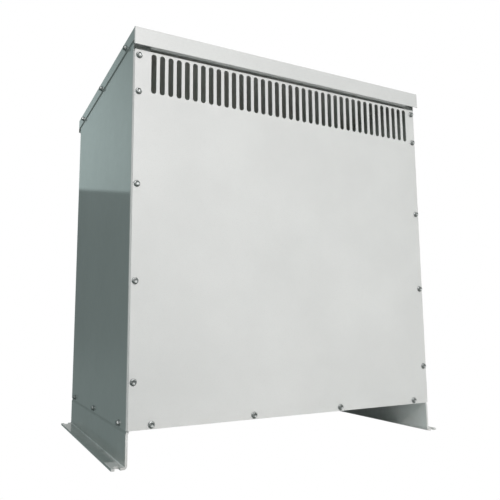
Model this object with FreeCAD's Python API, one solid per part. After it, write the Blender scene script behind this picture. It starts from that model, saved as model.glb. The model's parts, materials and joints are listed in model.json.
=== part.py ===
import FreeCAD, Part
import math
import os

# Ventilated three-phase dry-type transformer in a floor-standing sheet-steel enclosure.
# Millimetres. +Z is up, the front panel faces -Y, and the origin is on the floor under the
# middle of the enclosure.

V = FreeCAD.Vector

# ---------------------------------------------------------------- driving dimensions

body_width = 787.0          # over the two side skins
body_depth = 584.0          # over the front and rear panels
overall_height = 899.5      # floor to the top of the cover
skirt_height = 71.5         # open height below the panels
sheet = 2.0                 # enclosure sheet thickness
cover_gap = 0.3             # between a lift-off cover and the frame behind it
bend = 3.0                  # centreline radius of the sheet bends

foot_plate = 4.8            # thickness of the formed feet
foot_reach = 26.5           # floor flange beyond the side skin
foot_setback = 4.5          # foot ends behind the panel faces
notch_width = 11.0          # anchor notch in each end of the floor flange
notch_depth = 16.0
notch_reach = 14.0          # notch centre beyond the side skin
tongue_top = 120.0          # top of the plate that stands behind the side skin

panel_top = 856.5
panel_half_width = 390.6
vent_count = 38
vent_pitch = 19.05
vent_width = 11.5
vent_length = 88.0
vent_centre_z = 806.3
vent_offset = 3.5             # the row sits a little right of the panel's middle

cover_overhang = 13.0       # cover beyond the front and rear panels
cover_side_gap = 0.3
cover_front_flange = 39.2
cover_side_flange = 28.0
cover_lip = 12.0            # turned-in lip, over its bend
cover_lip_half = 358.0      # the lip stops short of the corners

screw_hex = 9.5             # across flats
screw_head = 5.8
screw_washer_radius = 7.0
screw_washer = 1.4
screw_radius = 3.1
screw_hole = 3.5
screw_length = 16.0
side_screw_length = 10.0

edge_screw_x = 381.5
edge_screw_z = (164.0, 363.0, 563.0, 762.0, 842.0)
bottom_screw_x = (-343.5, -114.5, 114.5, 343.5)
bottom_screw_z = 80.5
side_screw_y = (-235.0, 0.0, 235.0)
side_screw_z = 80.0
cover_screw_z = 880.5

return_flange = 30.0        # inward turn of each side panel
return_flange_top = 852.0
top_turn = 18.0             # inward turn along the top of each side skin
rail_height = 30.0
rail_ledge = 25.0

limb_pitch = 215.0
limb_width = 100.0
core_stack = 120.0
window_height = 330.0
yoke_height = 100.0
yoke_bottom = 134.0
clamp_plate = 6.0
clamp_half_length = 345.0
clamp_ledge = 46.0

channel_top = 112.0
channel_bottom = 72.0
channel_width = 60.0
channel_plate = 4.0
channel_y = 100.0
pad_height = 12.0

coil_clearance = 3.0
lv_build = 18.0
coil_duct = 8.0
hv_build = 20.0
coil_end_gap = 10.0

bolt_radius = 6.0
bolt_hole = 7.0
lug_hole = 7.1
lug_spacing = 44.45

# ---------------------------------------------------------------- derived places

half_width = body_width / 2
half_depth = body_depth / 2
frame_y = half_depth - sheet - cover_gap
foot_y = half_depth - foot_setback
skin_top = overall_height - sheet - cover_gap
cover_x = half_width + cover_side_gap + sheet
cover_y = half_depth + cover_overhang

yoke_top = yoke_bottom + yoke_height
window_top = yoke_top + window_height
core_half_length = limb_pitch + limb_width / 2
core_y = core_stack / 2
phases = {"left": -limb_pitch, "middle": 0.0, "right": limb_pitch}
coil_bottom = yoke_top + coil_end_gap
coil_top = window_top - coil_end_gap
clamp_y = core_y + clamp_plate / 2
clamp_outer = core_y + clamp_ledge
clamp_foot = channel_top + pad_height + clamp_plate / 2
top_clamp_bottom = 579.0
top_clamp_top = 677.0
lv_inner = coil_clearance
hv_inner = coil_clearance + lv_build + coil_duct
hv_face = core_y + hv_inner + hv_build

# ---------------------------------------------------------------- shape helpers


def box(low, high):
    """Axis-aligned block between two corners given in any order."""
    low, high = [min(a, b) for a, b in zip(low, high)], [max(a, b) for a, b in zip(low, high)]
    return Part.makeBox(high[0] - low[0], high[1] - low[1], high[2] - low[2], V(*low))


def rod(radius, start, direction, length):
    return Part.makeCylinder(radius, length, V(*start), V(*direction))


def fuse(shapes):
    result = shapes[0]
    for shape in shapes[1:]:
        result = result.fuse(shape)
    return result.removeSplitter()


def cut(shape, tools):
    return shape.cut(Part.makeCompound(tools)) if tools else shape


def mirror_y(shape):
    return shape.mirror(V(0, 0, 0), V(0, 1, 0))


def mirror_x(shape):
    return shape.mirror(V(0, 0, 0), V(1, 0, 0))


def in_xy(u, v):
    return V(u, v, 0)


def in_xz(u, v):
    return V(u, 0, v)


def in_yz(u, v):
    return V(0, u, v)


def formed(path, thickness, plane, start, end, radius=bend):
    """Sheet or bar of even thickness bent along a centreline path of (u, v) points.

    The section lies in `plane` and is swept straight along the plane's normal from
    `start` to `end`. Each corner is an arc whose centreline has `radius`.
    """
    points = [FreeCAD.Vector(u, v, 0) for u, v in path]
    edges = {1: [], -1: []}
    for side in (1, -1):
        here = None
        for index, point in enumerate(points):
            before = points[index] - points[index - 1] if index else points[1] - points[0]
            after = points[index + 1] - point if index + 1 < len(points) else before
            before, after = V(before).normalize(), V(after).normalize()
            normal_in = V(-before.y, before.x, 0) * side * thickness / 2
            normal_out = V(-after.y, after.x, 0) * side * thickness / 2
            if index == 0:
                here = point + normal_in
                continue
            if index == len(points) - 1:
                edges[side].append((here, None, point + normal_in))
                continue
            turn = before.getAngle(after)
            sense = 1 if before.cross(after).z > 0 else -1
            setback = radius * math.tan(turn / 2)
            centre = point - before * setback + V(-before.y, before.x, 0) * sense * radius
            arc_start = point - before * setback + normal_in
            arc_end = point + after * setback + normal_out
            bisector = V(point - centre).normalize()
            arc_middle = centre + bisector * (radius - sense * side * thickness / 2)
            edges[side].append((here, None, arc_start))
            edges[side].append((arc_start, arc_middle, arc_end))
            here = arc_end

    def make(edge):
        first, middle, last = [plane(p.x, p.y) if p else None for p in edge]
        if middle:
            return Part.Arc(first, middle, last).toShape()
        return Part.makeLine(first, last)

    upper, lower = edges[1], edges[-1]
    outline = [make(edge) for edge in upper]
    outline.append(make((upper[-1][2], None, lower[-1][2])))
    outline += [make((last, middle, first)) for first, middle, last in reversed(lower)]
    outline.append(make((lower[0][0], None, upper[0][0])))
    face = Part.Face(Part.Wire(Part.__sortEdges__(outline)))
    normal = {in_xy: V(0, 0, 1), in_xz: V(0, 1, 0), in_yz: V(1, 0, 0)}[plane]
    face.translate(normal * start)
    return face.extrude(normal * (end - start))


def hexagon(across_flats, height, centre, direction):
    """Hexagonal prism standing on `centre` and rising along a row axis."""
    axis = V(*direction)
    radius = across_flats / math.sqrt(3)
    prism = Part.makePolygon([
        V(radius * math.cos(math.radians(60 * k)), radius * math.sin(math.radians(60 * k)), 0)
        for k in range(7)])
    prism = Part.Face(prism).extrude(V(0, 0, height))
    prism.Placement = FreeCAD.Placement(V(*centre), FreeCAD.Rotation(V(0, 0, 1), axis))
    return prism


def panel_screw(place, outward, length=screw_length):
    """Hex washer-head screw: the washer sits on `place`, the head stands out along `outward`."""
    inward = [-component for component in outward]
    top_of_washer = [p + o * screw_washer for p, o in zip(place, outward)]
    return fuse([
        rod(screw_washer_radius, place, outward, screw_washer),
        hexagon(screw_hex, screw_head - screw_washer, top_of_washer, outward),
        rod(screw_radius, place, inward, length)])


def hex_bolt(place, outward, grip, radius=bolt_radius, head=True):
    """Bolt with its head on `place`, and a nut `grip` away on the far side."""
    inward = [-component for component in outward]
    far = [p + i * grip for p, i in zip(place, inward)]
    flats = radius * 3.1
    pieces = [rod(radius, place, inward, grip + radius * 2.2)]
    if head:
        pieces.append(hexagon(flats, radius * 1.3, place, outward))
    pieces.append(hexagon(flats, radius * 1.6, far, inward))
    return fuse(pieces)


def ring(half_x, half_y, inner_offset, build, corner, low, high, centre_x):
    """Rounded rectangular coil wall round a limb."""
    def block(offset, radius):
        solid = box((centre_x - half_x - offset, -half_y - offset, low),
                    (centre_x + half_x + offset, half_y + offset, high))
        upright = [edge for edge in solid.Edges
                   if abs(edge.Vertexes[0].Point.z - edge.Vertexes[1].Point.z) > 1]
        return solid.makeFillet(radius, upright)
    outer = block(inner_offset + build, corner + build)
    return outer.cut(block(inner_offset, corner))


# ---------------------------------------------------------------- enclosure


def foot(side):
    """Formed foot: floor flange turned out, upright web, tongue joggled in behind the skin."""
    web_x = half_width - foot_plate / 2
    tongue_x = half_width - sheet - foot_plate / 2
    path = [(half_width + foot_reach, foot_plate / 2), (web_x, foot_plate / 2),
            (web_x, skirt_height - 7), (tongue_x, skirt_height - 2.5), (tongue_x, tongue_top)]
    blank = formed(path, foot_plate, in_xz, -foot_y, foot_y, radius=5.0)
    tongue_y = frame_y - sheet - 4.7
    notch_x = half_width + notch_reach
    cuts = []
    for end in (-1, 1):
        cuts.append(box((half_width + 10, end * tongue_y, skirt_height - 1.5),
                        (half_width - 20, end * (foot_y + 5), tongue_top + 5)))
        bottom_y = end * (foot_y - notch_depth + notch_width / 2)
        cuts.append(box((notch_x - notch_width / 2, bottom_y, -1),
                        (notch_x + notch_width / 2, end * (foot_y + 5), foot_plate + 1)))
        cuts.append(rod(notch_width / 2, (notch_x, bottom_y, -1), (0, 0, 1), foot_plate + 2))
    for y in side_screw_y:
        cuts.append(rod(screw_hole, (half_width - 20, y, side_screw_z), (1, 0, 0), 30))
    piece = cut(blank, cuts)
    return piece if side > 0 else mirror_x(piece)


def side_panel(side):
    """Side skin with a return flange at each end and a turn along the top."""
    skin_x = half_width - sheet / 2
    flange_x = half_width - return_flange
    end_y = frame_y - sheet / 2
    path = [(flange_x, -end_y), (skin_x, -end_y), (skin_x, end_y), (flange_x, end_y)]
    wrapped = formed(path, sheet, in_xy, skirt_height, return_flange_top)
    turn_z = skin_top - sheet / 2
    upper = formed([(skin_x, return_flange_top), (skin_x, turn_z), (half_width - top_turn, turn_z)],
                   sheet, in_xz, -frame_y, frame_y)
    blank = fuse([wrapped, upper])
    cuts = []
    for y in side_screw_y:
        cuts.append(rod(screw_hole, (half_width - 10, y, side_screw_z), (1, 0, 0), 20))
        cuts.append(rod(screw_hole, (half_width - 10, y, cover_screw_z), (1, 0, 0), 20))
        cuts.append(box((half_width - 10, y - screw_hole, cover_screw_z),
                        (half_width + 5, y + screw_hole, skin_top + 5)))
    for z in edge_screw_z:
        cuts.append(rod(screw_hole, (edge_screw_x, -half_depth - 5, z), (0, 1, 0), body_depth + 10))
    piece = cut(blank, cuts)
    return piece if side > 0 else mirror_x(piece)


def bottom_rail():
    """Front bottom rail: angle between the side panels, with a lap tab behind each flange."""
    rail_half = half_width - return_flange - 0.5
    face_y = -frame_y + sheet / 2
    low = skirt_height + 0.5
    angle = formed([(face_y, low + rail_height), (face_y, low + sheet / 2),
                    (face_y + rail_ledge, low + sheet / 2)],
                   sheet, in_yz, -rail_half, rail_half)
    tabs = [box((end * (rail_half - 18), -frame_y + sheet, low + 6),
                (end * (half_width - 8), -frame_y + 2 * sheet, low + rail_height))
            for end in (-1, 1)]
    holes = [rod(screw_hole, (x, -half_depth - 5, bottom_screw_z), (0, 1, 0), 20)
             for x in bottom_screw_x]
    return cut(fuse([angle] + tabs), holes)


def top_rail():
    """Front top rail: angle under the cover, with an end plate against each side skin."""
    end_x = half_width - sheet
    face_y = -frame_y + 8
    high = skin_top - 4.5
    angle = formed([(face_y, high - rail_height), (face_y, high - sheet / 2),
                    (face_y + rail_ledge, high - sheet / 2)],
                   sheet, in_yz, -end_x, end_x)
    plates = [box((end * end_x, face_y + sheet / 2, high - rail_height),
                  (end * (end_x - sheet), face_y + rail_ledge, high - sheet))
              for end in (-1, 1)]
    return fuse([angle] + plates)


def front_panel():
    """Flat panel with a row of upright round-ended slots and a stiffening turn along its top."""
    turn_half = half_width - return_flange - 6
    fold_y = -half_depth + sheet / 2
    folded = formed([(fold_y, panel_top - 10), (fold_y, panel_top - sheet / 2),
                     (fold_y + 13, panel_top - sheet / 2)],
                    sheet, in_yz, -turn_half, turn_half, radius=2.0)
    flat = box((-panel_half_width, -half_depth, skirt_height),
               (panel_half_width, -half_depth + sheet, panel_top - 10))
    shoulders = [box((end * turn_half, -half_depth, panel_top - 10),
                     (end * panel_half_width, -half_depth + sheet, panel_top))
                 for end in (-1, 1)]
    cuts = []
    straight = vent_length - vent_width
    for index in range(vent_count):
        x = vent_offset + (index - (vent_count - 1) / 2) * vent_pitch
        low = vent_centre_z - straight / 2
        cuts.append(box((x - vent_width / 2, -half_depth - 1, low),
                        (x + vent_width / 2, -half_depth + sheet + 1, low + straight)))
        for z in (low, low + straight):
            cuts.append(rod(vent_width / 2, (x, -half_depth - 1, z), (0, 1, 0), sheet + 2))
    slots = cuts[0].fuse(cuts[1:])
    holes = [rod(screw_hole, (x, -half_depth - 1, z), (0, 1, 0), sheet + 2)
             for x, z in panel_screw_places()]
    return cut(fuse([flat, folded] + shoulders).cut(slots), holes)


def panel_screw_places():
    """The 14 screws of one panel as (x, z)."""
    edges = [(side * edge_screw_x, z) for side in (-1, 1) for z in edge_screw_z]
    return edges + [(x, bottom_screw_z) for x in bottom_screw_x]


def front_panel_screws():
    return Part.makeCompound([panel_screw((x, -half_depth, z), (0, -1, 0))
                              for x, z in panel_screw_places()])


def top_cover():
    """Tray: deep flanges front and rear that end in a turned-in lip, shallower side flanges."""
    top_z = overall_height - sheet / 2
    y = cover_y - sheet / 2
    x = cover_x - sheet / 2
    low = overall_height - cover_front_flange
    tray = formed([(-y, low), (-y, top_z), (y, top_z), (y, low)], sheet, in_yz,
                  -cover_x + bend, cover_x - bend)
    sides = formed([(-x, overall_height - cover_side_flange), (-x, top_z), (x, top_z),
                    (x, overall_height - cover_side_flange)],
                   sheet, in_xz, -cover_y + bend, cover_y - bend)
    corners = []
    for sx in (-1, 1):
        for sy in (-1, 1):
            post = box((sx * (cover_x - bend), sy * (cover_y - bend), low),
                       (sx * cover_x, sy * cover_y, overall_height))
            rounded = rod(bend, (sx * (cover_x - bend), sy * (cover_y - bend), low),
                          (0, 0, 1), cover_front_flange)
            hollow = box((sx * (cover_x - bend - 2), sy * (cover_y - bend - 2), low - 1),
                         (sx * (cover_x - sheet), sy * (cover_y - sheet),
                          overall_height - sheet))
            ball = Part.makeSphere(bend, V(sx * (cover_x - bend), sy * (cover_y - bend),
                                           overall_height - bend))
            cap = box((sx * (cover_x - bend), sy * (cover_y - bend), overall_height - bend),
                      (sx * cover_x, sy * cover_y, overall_height))
            quarter = post.common(rounded).cut(hollow).cut(cap.cut(ball))
            corners.append(quarter)
    lips = [box((-cover_lip_half, end * (cover_y - sheet / 2), low),
                (cover_lip_half, end * (cover_y - cover_lip), low + sheet))
            for end in (-1, 1)]
    holes = []
    for y_screw in side_screw_y:
        holes.append(rod(screw_hole, (-cover_x - 5, y_screw, cover_screw_z),
                         (1, 0, 0), 2 * cover_x + 10))
    return cut(fuse([tray, sides] + corners + lips), holes)


def top_cover_screws():
    return Part.makeCompound([
        panel_screw((side * cover_x, y, cover_screw_z), (side, 0, 0), side_screw_length)
        for side in (-1, 1) for y in side_screw_y])


def lower_side_screws(side):
    return Part.makeCompound([
        panel_screw((side * half_width, y, side_screw_z), (side, 0, 0), side_screw_length)
        for y in side_screw_y])


# ---------------------------------------------------------------- core and its supports

hold_down_x = 290.0
tie_rod_x = 330.0
tie_rod_y = 92.0
tie_rod_end = 16.0          # rod beyond each ledge
rod_nut_hex = 18.6
rod_nut = 9.6
clamp_bolt_x = 282.0
bottom_clamp_foot_y = core_y + 65.0


def core_channel():
    """Front core channel, open side down, welded between the two feet."""
    end_x = half_width - sheet - foot_plate
    inner = channel_y - channel_width / 2 + channel_plate / 2
    outer = channel_y + channel_width / 2 - channel_plate / 2
    top = channel_top - channel_plate / 2
    section = formed([(-inner, channel_bottom), (-inner, top), (-outer, top),
                      (-outer, channel_bottom)],
                     channel_plate, in_yz, -end_x, end_x, radius=5.0)
    holes = [rod(bolt_hole, (x, -channel_y, channel_bottom), (0, 0, 1), 60)
             for x in (-hold_down_x, hold_down_x)]
    return cut(section, holes)


def isolation_pads():
    """Rubber pads between the core clamps and the core channels, one at each corner."""
    pads = []
    for x in (-hold_down_x, hold_down_x):
        for y in (-channel_y, channel_y):
            pad = box((x - 32, y - 24, channel_top), (x + 32, y + 24, channel_top + pad_height))
            upright = [edge for edge in pad.Edges
                       if abs(edge.Vertexes[0].Point.z - edge.Vertexes[1].Point.z) > 1]
            pad = pad.makeFillet(5, upright)
            pads.append(pad.cut(rod(bolt_hole + 1, (x, y, channel_top - 1), (0, 0, 1), 20)))
    return Part.makeCompound(pads)


def hold_down_bolts():
    grip = pad_height + clamp_plate + channel_plate
    return Part.makeCompound([
        hex_bolt((x, y, channel_top + pad_height + clamp_plate), (0, 0, 1), grip)
        for x in (-hold_down_x, hold_down_x) for y in (-channel_y, channel_y)])


def core_limb(centre_x):
    return box((centre_x - limb_width / 2, -core_y, yoke_top),
               (centre_x + limb_width / 2, core_y, window_top))


def yoke(low):
    return box((-core_half_length, -core_y, low), (core_half_length, core_y, low + yoke_height))


def bottom_clamp():
    """Front bottom clamp: ledge above for the coil blocks, foot below on the rubber pads."""
    ledge = yoke_top - clamp_plate / 2
    shape = formed([(-clamp_outer, ledge), (-clamp_y, ledge), (-clamp_y, clamp_foot),
                    (-bottom_clamp_foot_y, clamp_foot)],
                   clamp_plate, in_yz, -clamp_half_length, clamp_half_length, radius=6.0)
    holes = []
    for side in (-1, 1):
        holes.append(rod(bolt_hole, (side * hold_down_x, -channel_y, 110), (0, 0, 1), 40))
        holes.append(rod(bolt_hole, (side * tie_rod_x, -tie_rod_y, yoke_top - 20), (0, 0, 1), 40))
        holes.append(rod(bolt_hole, (side * clamp_bolt_x, -80, yoke_bottom + 50), (0, 1, 0), 40))
    return cut(shape, holes)


def top_clamp():
    """Front top clamp: channel with both ledges turned out."""
    shape = formed([(-clamp_outer, top_clamp_bottom), (-clamp_y, top_clamp_bottom),
                    (-clamp_y, top_clamp_top), (-clamp_outer, top_clamp_top)],
                   clamp_plate, in_yz, -clamp_half_length, clamp_half_length, radius=6.0)
    holes = []
    for side in (-1, 1):
        holes.append(rod(bolt_hole, (side * tie_rod_x, -tie_rod_y, 560), (0, 0, 1), 40))
        holes.append(rod(bolt_hole, (side * clamp_bolt_x, -80, window_top + 50), (0, 1, 0), 40))
        holes.append(rod(bracket_bolt_hole, (side * bracket_x, -bracket_bolt_y, 665),
                         (0, 0, 1), 30))
    return cut(shape, holes)


def clamp_bolts():
    """Bolts that pull the front and rear clamps together past the yoke ends."""
    reach = core_y + clamp_plate
    return Part.makeCompound([
        hex_bolt((x, -reach, z), (0, -1, 0), 2 * reach)
        for x in (-clamp_bolt_x, clamp_bolt_x) for z in (yoke_bottom + 50, window_top + 50)])


def tie_rods():
    """Vertical rods through the facing ledges of the clamps, nutted outside each ledge."""
    low = yoke_top - clamp_plate
    high = top_clamp_bottom + clamp_plate / 2
    rods = []
    for x in (-tie_rod_x, tie_rod_x):
        for y in (-tie_rod_y, tie_rod_y):
            rods.append(fuse([
                rod(bolt_radius, (x, y, low - tie_rod_end), (0, 0, 1),
                    high - low + 2 * tie_rod_end),
                hexagon(rod_nut_hex, rod_nut, (x, y, low), (0, 0, -1)),
                hexagon(rod_nut_hex, rod_nut, (x, y, high), (0, 0, 1))]))
    return Part.makeCompound(rods)


# ---------------------------------------------------------------- windings


def lv_coil(centre_x):
    return ring(limb_width / 2, core_y, lv_inner, lv_build, 6.0, coil_bottom, coil_top, centre_x)


def hv_coil(centre_x):
    return ring(limb_width / 2, core_y, hv_inner, hv_build, 20.0, coil_bottom, coil_top, centre_x)


def duct_spacers():
    """Upright sticks that keep the cooling duct open between the two coils of each phase."""
    near = coil_clearance + lv_build
    near_y = core_y + near
    near_x = limb_width / 2 + near
    sticks = []
    for centre_x in phases.values():
        for side in (-1, 1):
            for place in (-30.0, 0.0, 30.0):
                sticks.append(box(
                    (centre_x + place - 6, side * near_y, coil_bottom),
                    (centre_x + place + 6, side * (near_y + coil_duct), coil_top)))
                sticks.append(box(
                    (centre_x + side * near_x, place - 6, coil_bottom),
                    (centre_x + side * (near_x + coil_duct), place + 6, coil_top)))
    return Part.makeCompound(sticks)


def coil_blocks(low, high):
    """Support blocks between the coil ends and the clamp ledges."""
    blocks = []
    for centre_x in phases.values():
        for sx in (-1, 1):
            for sy in (-1, 1):
                blocks.append(box((centre_x + sx * 60, sy * 74, low),
                                  (centre_x + sx * 86, sy * 104, high)))
    return Part.makeCompound(blocks)


# ---------------------------------------------------------------- connections

bar_plate = 6.0
bar_width = 40.0
bar_top = 812.0
bar_face_y = 113.0          # faces of the terminal boards that the bars lie on
board_plate = 8.0
board_low = 686.0
board_high = 722.0
board_half = 268.0
board_bolt_z = 704.0
bracket_x = 150.0
bracket_bolt_y = 86.0
bracket_bolt_hole = 5.5
bracket_plate = 4.0
neutral_x = -107.5
neutral_y = 140.0
neutral_tap = 40.0          # neutral riser beside each phase bar
lug_low_z = 745.0
hv_bar_plate = 4.0
hv_bar_width = 30.0
hv_lug_z = 772.0
hv_lug_hole = 5.5
board_bolt_radius = 5.0
strap_x = 215.0
strap_top_y = 117.0
strap_low_z = 92.0
strap_hole = 4.0
delta_levels = (610.0, 635.0, 660.0)
cable_radius = 6.0


def bolt_line(places, y_head, outward, grip, radius=board_bolt_radius):
    return [hex_bolt((x, y_head, z), outward, grip, radius) for x, z in places]


def terminal_board(bar_places):
    """Front terminal board: insulating bar that the terminal bars are bolted to."""
    board = box((-board_half, -bar_face_y, board_low),
                (board_half, -bar_face_y + board_plate, board_high))
    holes = [rod(bracket_bolt_hole, (x, -bar_face_y - 1, board_bolt_z), (0, 1, 0), board_plate + 2)
             for x in list(bar_places) + [-bracket_x, bracket_x]]
    return cut(board, holes)


def board_brackets():
    """Front pair of angle brackets that carry the terminal board on the top clamp."""
    back_y = bar_face_y - board_plate - bracket_plate / 2
    foot_z = top_clamp_top + clamp_plate / 2 + bracket_plate / 2
    brackets = []
    for x in (-bracket_x, bracket_x):
        angle = formed([(-back_y, board_high - 4), (-back_y, foot_z), (-70, foot_z)],
                       bracket_plate, in_yz, x - 20, x + 20, radius=5.0)
        brackets.append(cut(angle, [
            rod(bracket_bolt_hole, (x, -bracket_bolt_y, foot_z - 5), (0, 0, 1), 10),
            rod(bracket_bolt_hole, (x, -back_y - 5, board_bolt_z), (0, 1, 0), 10)]))
    return Part.makeCompound(brackets)


def board_bolts(bar_places, plate):
    """Front bolts: bars to board, board to brackets, brackets to the top clamp."""
    bolts = bolt_line([(x, board_bolt_z) for x in bar_places], -bar_face_y - plate, (0, -1, 0),
                      plate + board_plate)
    bolts += bolt_line([(x, board_bolt_z) for x in (-bracket_x, bracket_x)], -bar_face_y,
                       (0, -1, 0), board_plate + bracket_plate)
    clamp_face = top_clamp_top + clamp_plate / 2
    for x in (-bracket_x, bracket_x):
        bolts.append(hex_bolt((x, -bracket_bolt_y, clamp_face + bracket_plate), (0, 0, 1),
                              bracket_plate + clamp_plate, board_bolt_radius))
    return Part.makeCompound(bolts)


def lug_holes(centre_x):
    """Two holes for a bolted cable lug, and one for the board bolt."""
    return [rod(lug_hole, (centre_x, -200, z), (0, 1, 0), 200)
            for z in (lug_low_z, lug_low_z + lug_spacing)] + [
            rod(bracket_bolt_hole, (centre_x, -130, board_bolt_z), (0, 1, 0), 60)]


def lv_bar(centre_x):
    """Phase bar: out of the top of the coil, forward past the clamp, up to its lug holes."""
    coil_y = core_y + lv_inner + lv_build / 2
    bar_y = bar_face_y + bar_plate / 2
    blank = formed([(-coil_y, coil_top), (-coil_y, 565), (-bar_y, 565), (-bar_y, bar_top)],
                   bar_plate, in_yz, centre_x - bar_width / 2, centre_x + bar_width / 2,
                   radius=5.0)
    return cut(blank, lug_holes(centre_x))


def lv_neutral_bus():
    """Neutral bus in front of the phase bars, with a riser from each coil and one terminal."""
    coil_y = core_y + lv_inner + lv_build / 2
    bar_y = bar_face_y + bar_plate / 2
    pieces = []
    for centre_x in phases.values():
        x = centre_x + neutral_tap
        pieces.append(formed([(-coil_y, coil_top), (-coil_y, 565), (-neutral_y, 565),
                              (-neutral_y, 636)],
                             bar_plate, in_yz, x - 10, x + 10, radius=5.0))
    pieces.append(box((-limb_pitch + 20, -neutral_y - bar_plate / 2, 606),
                      (limb_pitch + neutral_tap + 10, -neutral_y - 1.5 * bar_plate, 636)))
    terminal = formed([(-neutral_y, 606), (-neutral_y, 656), (-bar_y, 678), (-bar_y, bar_top)],
                      bar_plate, in_yz, neutral_x - bar_width / 2, neutral_x + bar_width / 2,
                      radius=5.0)
    pieces.append(cut(terminal, lug_holes(neutral_x)))
    return fuse(pieces)


def hv_terminal_bars():
    """Rear terminal bars, one up from each high-voltage coil to a single lug hole."""
    coil_y = core_y + hv_inner + hv_build / 2
    bar_y = bar_face_y + hv_bar_plate / 2
    bars = []
    for centre_x in phases.values():
        blank = formed([(coil_y, coil_top), (coil_y, 561), (bar_y, 573), (bar_y, 790)],
                       hv_bar_plate, in_yz, centre_x - hv_bar_width / 2,
                       centre_x + hv_bar_width / 2, radius=4.0)
        bars.append(cut(blank, [rod(hv_lug_hole, (centre_x, 90, z), (0, 1, 0), 60)
                                for z in (board_bolt_z, hv_lug_z)]))
    return Part.makeCompound(bars)


def tube(points, radius):
    """Round cable along straight runs with tangent bends."""
    vectors = [V(*point) for point in points]
    edges = []
    here = vectors[0]
    for before, corner, after in zip(vectors, vectors[1:], vectors[2:]):
        inward = V(before - corner)
        outward = V(after - corner)
        reach = 0.45 * min(inward.Length, outward.Length, 3.2 * radius / 0.45)
        inward.normalize()
        outward.normalize()
        start = corner + inward * reach
        end = corner + outward * reach
        half = inward.getAngle(outward) / 2
        bisector = V(inward + outward).normalize()
        arc_radius = reach * math.tan(half)
        middle = corner + bisector * (reach / math.cos(half) - arc_radius)
        edges.append(Part.makeLine(here, start))
        edges.append(Part.Arc(start, middle, end).toShape())
        here = end
    edges.append(Part.makeLine(here, vectors[-1]))
    direction = V(vectors[1] - vectors[0]).normalize()
    circle = Part.Wire(Part.makeCircle(radius, vectors[0], direction))
    return Part.Wire(edges).makePipeShell([circle], True, False)


def hv_delta_leads():
    """Insulated leads that join the end of each high-voltage coil to the next terminal bar."""
    order = list(phases.values())
    lead_y = 136.0
    bar_back = bar_face_y + hv_bar_plate
    leads = []
    for index, level in enumerate(delta_levels):
        start_x = order[index] + 40
        end_x = order[(index + 1) % 3]
        coil_y = core_y + hv_inner + hv_build / 2
        leads.append(tube([(start_x, coil_y, coil_top), (start_x, coil_y, 562),
                           (start_x, lead_y, 570), (start_x, lead_y, level),
                           (end_x, lead_y, level), (end_x, bar_back, level)], cable_radius))
    return Part.makeCompound(leads)


tap_half_width = 34.0
tap_low = 300.0
tap_high = 500.0
tap_rows = (330.0, 400.0, 470.0)
tap_column = 20.0
stud_radius = 4.0


def tap_studs_places():
    return [(centre_x + side * tap_column, z)
            for centre_x in phases.values() for side in (-1, 1) for z in tap_rows]


def hv_tap_boards():
    """Insulating strips on the rear of the high-voltage coils that carry the tap studs."""
    boards = []
    for centre_x in phases.values():
        boards.append(box((centre_x - tap_half_width, hv_face, tap_low),
                          (centre_x + tap_half_width, hv_face + board_plate, tap_high)))
    return Part.makeCompound(boards)


def hv_tap_links():
    """Links that join the two middle tap studs of each phase."""
    face = hv_face + board_plate
    links = []
    for centre_x in phases.values():
        link = box((centre_x - tap_column - 9, face, tap_rows[1] - 8),
                   (centre_x + tap_column + 9, face + 3, tap_rows[1] + 8))
        holes = [rod(stud_radius + 0.3, (centre_x + side * tap_column, face - 1, tap_rows[1]),
                     (0, 1, 0), 6) for side in (-1, 1)]
        links.append(cut(link, holes))
    return Part.makeCompound(links)


def hv_tap_studs():
    """Brass studs with a nut each; the linked pair's nuts sit on the link."""
    face = hv_face + board_plate
    studs = []
    for x, z in tap_studs_places():
        seat = face + 3 if z == tap_rows[1] else face
        studs.append(fuse([rod(stud_radius, (x, face, z), (0, 1, 0), 20),
                           hexagon(13, 6.5, (x, seat, z), (0, 1, 0))]))
    return Part.makeCompound(studs)


# ---------------------------------------------------------------- lifting and grounding

lift_x = 305.0
lift_hole = 16.0
lift_z = 716.0
ground_lug_x = -300.0
ground_bore = 6.0


def lifting_lugs():
    """Four lugs welded on the top clamps, each with a shackle hole."""
    foot_z = top_clamp_top + clamp_plate / 2
    lugs = []
    for x in (-lift_x, lift_x):
        for side in (-1, 1):
            plate = box((x - 34, side * 80, foot_z), (x + 34, side * 90, lift_z))
            crown = rod(34, (x, min(side * 80, side * 90), lift_z), (0, 1, 0), 10)
            hole = rod(lift_hole, (x, -120, lift_z), (0, 1, 0), 240)
            lugs.append(fuse([plate, crown]).cut(hole))
    return Part.makeCompound(lugs)


def ground_lug():
    """Box lug on the front core channel with a bore along X and a clamping screw on top."""
    back_y = channel_y + channel_width / 2
    body = box((ground_lug_x - 12, -back_y, 78), (ground_lug_x + 12, -back_y - 26, 102))
    bore = rod(ground_bore, (ground_lug_x - 20, -back_y - 14, 90), (1, 0, 0), 40)
    screw = rod(4.5, (ground_lug_x, -back_y - 14, 102), (0, 0, 1), 8)
    slot = box((ground_lug_x - 5, -back_y - 14.8, 107.5), (ground_lug_x + 5, -back_y - 13.2, 111))
    return fuse([body.cut(bore), screw.cut(slot)])


def strap_holes():
    """Clearance holes for the strap's bolts in the front bottom clamp's foot and core channel."""
    return [rod(strap_hole, (strap_x, -strap_top_y, 110), (0, 0, 1), 40),
            rod(strap_hole, (strap_x, -channel_y - channel_width / 2 - 1, strap_low_z),
                (0, 1, 0), 6)]


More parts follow.
